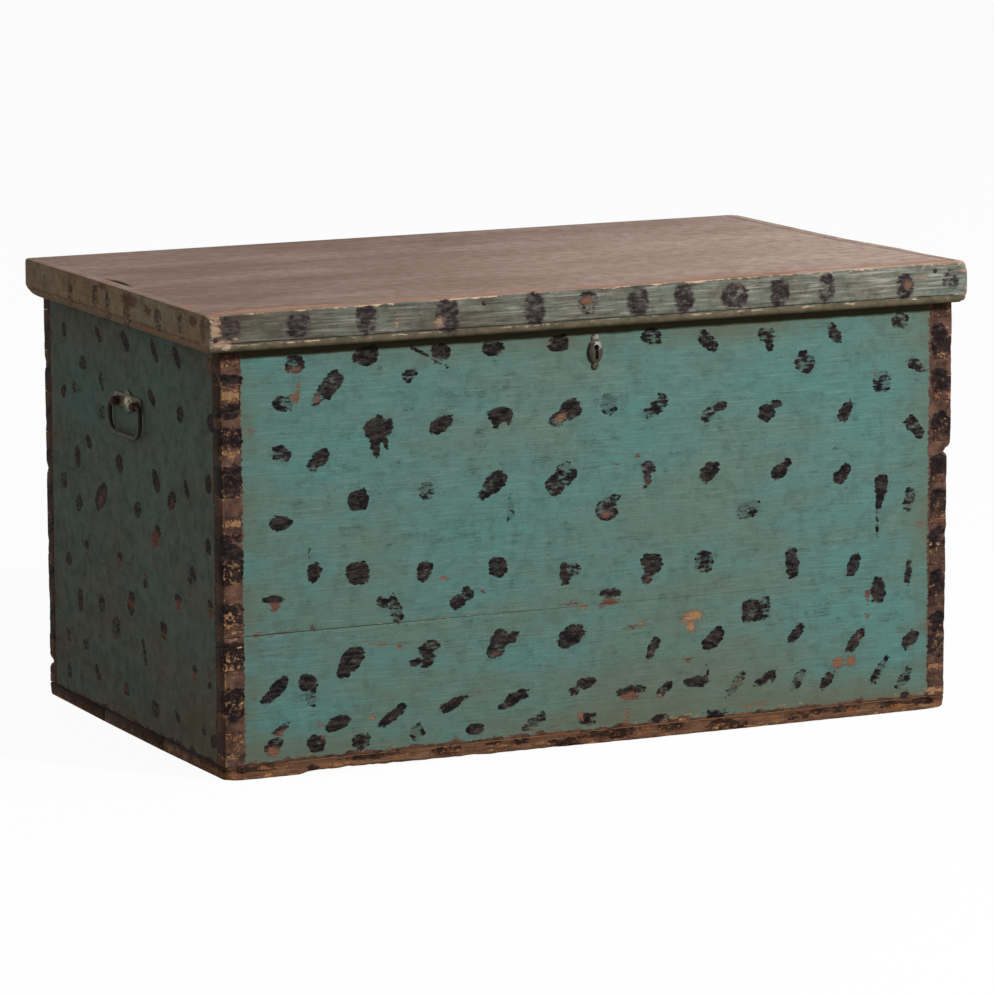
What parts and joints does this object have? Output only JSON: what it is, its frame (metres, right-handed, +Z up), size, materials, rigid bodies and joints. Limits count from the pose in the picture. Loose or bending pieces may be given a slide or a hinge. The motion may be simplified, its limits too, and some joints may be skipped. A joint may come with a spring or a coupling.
{
  "type": "storage trunk",
  "caption": "Painted pine storage trunk with dovetailed plank walls, a hinged lid in moulded rails, iron drop handles, a box lock behind an oval escutcheon and nailed bottom boards.",
  "frame": {"origin": "middle of the footprint of the whole trunk, on the floor", "axes": "+X to the right along the trunk's length as the front is faced, +Y to the back where the hinges are, +Z up"},
  "size_m": [1.14, 0.7, 0.6303],
  "materials": {
    "teal_painted_pine": "worn matt paint with dabbed spots",
    "brown_painted_pine": "worn paint",
    "bare_pine": "bare and weathered",
    "rusted_iron": "rusted"
  },
  "bodies": {
    "carcass": {"front_upper_plank": "teal_painted_pine", "front_lower_plank": "teal_painted_pine", "back_upper_plank": "teal_painted_pine", "back_lower_plank": "teal_painted_pine", "left_upper_plank": "teal_painted_pine", "left_lower_plank": "teal_painted_pine", "right_upper_plank": "teal_painted_pine", "right_lower_plank": "teal_painted_pine", "bottom_front_plank": "bare_pine", "bottom_middle_plank": "bare_pine", "bottom_back_plank": "bare_pine", "left_hinge_leaf": "rusted_iron", "right_hinge_leaf": "rusted_iron", "left_hinge_pin": "rusted_iron", "right_hinge_pin": "rusted_iron", "escutcheon": "rusted_iron", "lock_plate": "rusted_iron", "lock_case": "rusted_iron", "bolt_keeper_left": "rusted_iron", "bolt_keeper_right": "rusted_iron", "lock_spring": "rusted_iron", "key_post": "rusted_iron", "left_handle_plate": "rusted_iron", "right_handle_plate": "rusted_iron", "left_front_post": "rusted_iron", "left_back_post": "rusted_iron", "right_front_post": "rusted_iron", "right_back_post": "rusted_iron"},
    "lid": {"lid_front_plank": "brown_painted_pine", "lid_back_plank": "brown_painted_pine", "lid_front_rail": "teal_painted_pine", "lid_left_rail": "teal_painted_pine", "lid_right_rail": "teal_painted_pine", "left_lid_strap": "rusted_iron", "right_lid_strap": "rusted_iron", "lock_staple": "rusted_iron"},
    "left_handle": {"left_bail": "rusted_iron"},
    "right_handle": {"right_bail": "rusted_iron"},
    "bolt": {"lock_bolt": "rusted_iron"}
  },
  "joints": [
    {"name": "lid_hinge", "type": "hinge", "parent": "carcass", "child": "lid", "pos_m": [0, 0.3366, 0.5977], "axis": [-1, 0, 0], "range_deg": [0, 110]},
    {"name": "left_bail_swing", "type": "hinge", "parent": "carcass", "child": "left_handle", "pos_m": [-0.557, 0, 0.467], "axis": [0, 1, 0], "range_deg": [-4, 184]},
    {"name": "right_bail_swing", "type": "hinge", "parent": "carcass", "child": "right_handle", "pos_m": [0.557, 0, 0.467], "axis": [0, -1, 0], "range_deg": [-4, 184]},
    {"name": "bolt_throw", "type": "slide", "parent": "carcass", "child": "bolt", "axis": [1, 0, 0], "range_m": [0, 0.014]}
  ]
}
